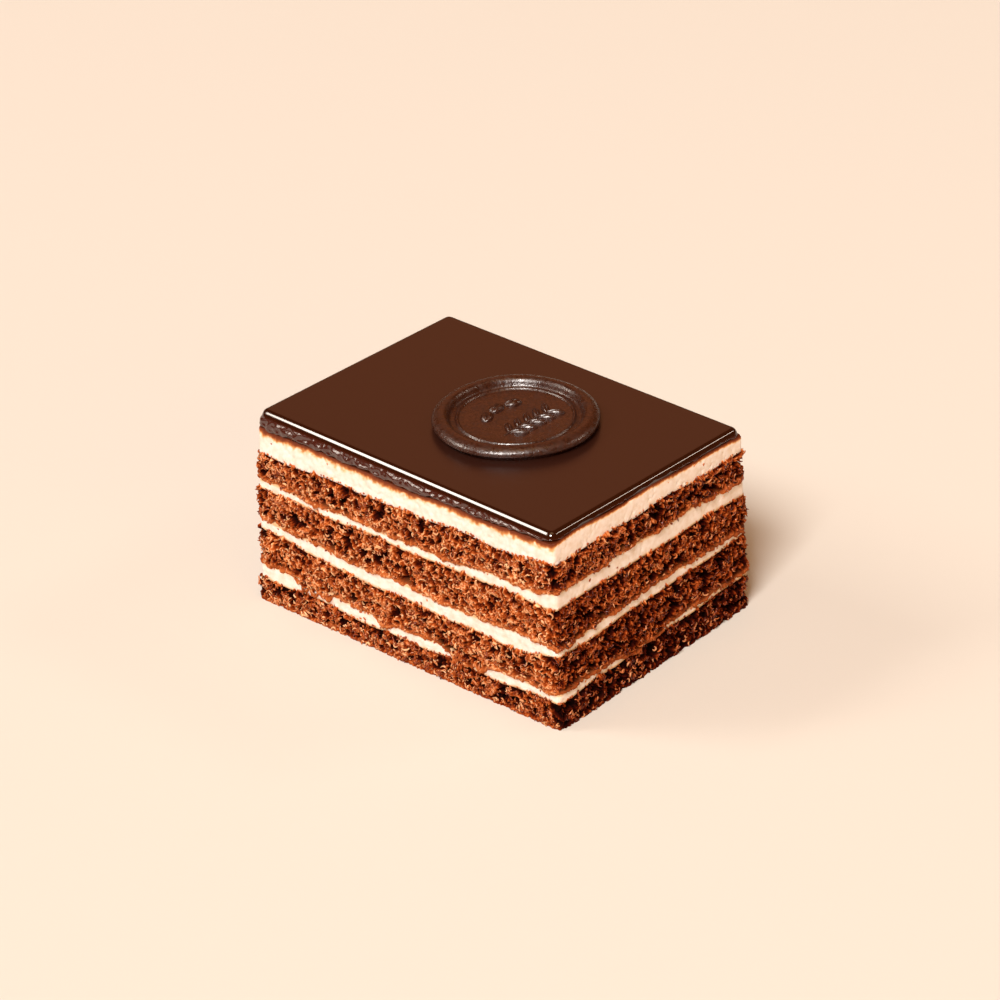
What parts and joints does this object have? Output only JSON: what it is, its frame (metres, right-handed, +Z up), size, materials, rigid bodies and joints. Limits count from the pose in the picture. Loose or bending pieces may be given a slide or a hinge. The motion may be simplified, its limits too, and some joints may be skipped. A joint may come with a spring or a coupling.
{
  "type": "opera cake slice",
  "caption": "Rectangular slice of layered chocolate sponge and cream under a smooth glaze, with a round moulded chocolate seal on top.",
  "frame": {"origin": "middle of the slice's bounding box, on the surface that it stands on", "axes": "+Z up, X along the long cut side, Y along the short cut side"},
  "size_m": [0.0841, 0.0631, 0.046],
  "materials": {
    "sponge": "matt, open crumb",
    "cream": "soft satin",
    "glaze": "mirror gloss",
    "seal": "satin"
  },
  "bodies": {
    "root": {"sponge_1": "sponge", "sponge_2": "sponge", "sponge_3": "sponge", "sponge_4": "sponge", "cream_1": "cream", "cream_2": "cream", "cream_3": "cream", "cream_4": "cream", "glaze": "glaze", "seal": "seal"}
  },
  "joints": []
}
